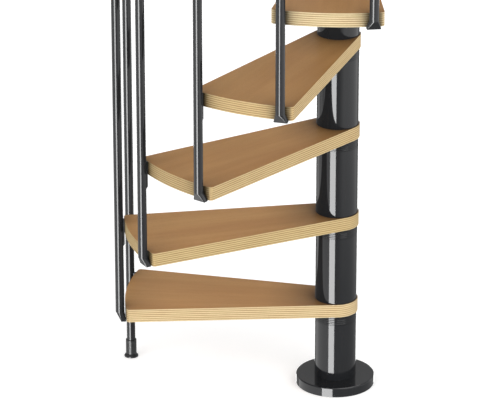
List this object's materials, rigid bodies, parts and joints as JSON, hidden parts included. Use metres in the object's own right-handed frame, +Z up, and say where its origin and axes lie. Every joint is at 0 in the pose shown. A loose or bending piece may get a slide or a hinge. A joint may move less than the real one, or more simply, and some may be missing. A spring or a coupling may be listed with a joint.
{
  "type": "spiral staircase",
  "caption": "Kit spiral staircase: multiplex wedge treads clamped on a black column of stacked tubes and rings, tied by round black balusters that carry a helical handrail.",
  "frame": {"origin": "centre of the base flange's underside, on the floor under the column's axis", "axes": "+Z up along the column, +X to the right and +Y away from the viewer in the picture's view; the stair climbs counter-clockwise seen from above, starting near -X"},
  "size_m": [0.9353, 0.7894, 2.6634],
  "materials": {
    "steel_plate": "satin",
    "column_lacquer": "gloss",
    "multiplex": "lacquered",
    "baluster_lacquer": "gloss",
    "black_plastic": "matte",
    "rail_plastic": "satin"
  },
  "bodies": {
    "root": {"base_flange": "steel_plate", "base_cover": "column_lacquer", "tie_rod": "steel_plate", "column_tube_1": "column_lacquer", "column_tube_2": "column_lacquer", "column_tube_3": "column_lacquer", "column_tube_4": "column_lacquer", "column_tube_5": "column_lacquer", "column_tube_6": "column_lacquer", "spacer_rings_1": "column_lacquer", "spacer_rings_2": "column_lacquer", "spacer_rings_3": "column_lacquer", "spacer_rings_4": "column_lacquer", "spacer_rings_5": "column_lacquer", "spacer_rings_6": "column_lacquer", "tread_1": "multiplex", "tread_2": "multiplex", "tread_3": "multiplex", "tread_4": "multiplex", "tread_5": "multiplex", "tread_6": "multiplex", "baluster_0": "baluster_lacquer", "baluster_1": "baluster_lacquer", "baluster_2": "baluster_lacquer", "baluster_3": "baluster_lacquer", "baluster_4": "baluster_lacquer", "baluster_5": "baluster_lacquer", "baluster_6": "baluster_lacquer", "tread_bracket_1": "black_plastic", "tread_bracket_2": "black_plastic", "tread_bracket_3": "black_plastic", "tread_bracket_4": "black_plastic", "tread_bracket_5": "black_plastic", "tread_bracket_6": "black_plastic", "baluster_foot": "black_plastic", "rail_holder_0": "baluster_lacquer", "rail_holder_1": "baluster_lacquer", "rail_holder_2": "baluster_lacquer", "rail_holder_3": "baluster_lacquer", "rail_holder_4": "baluster_lacquer", "rail_holder_5": "baluster_lacquer", "rail_holder_6": "baluster_lacquer", "handrail_lower": "rail_plastic", "handrail_upper": "rail_plastic", "rail_end_caps": "black_plastic", "column_cap": "black_plastic"}
  },
  "joints": []
}
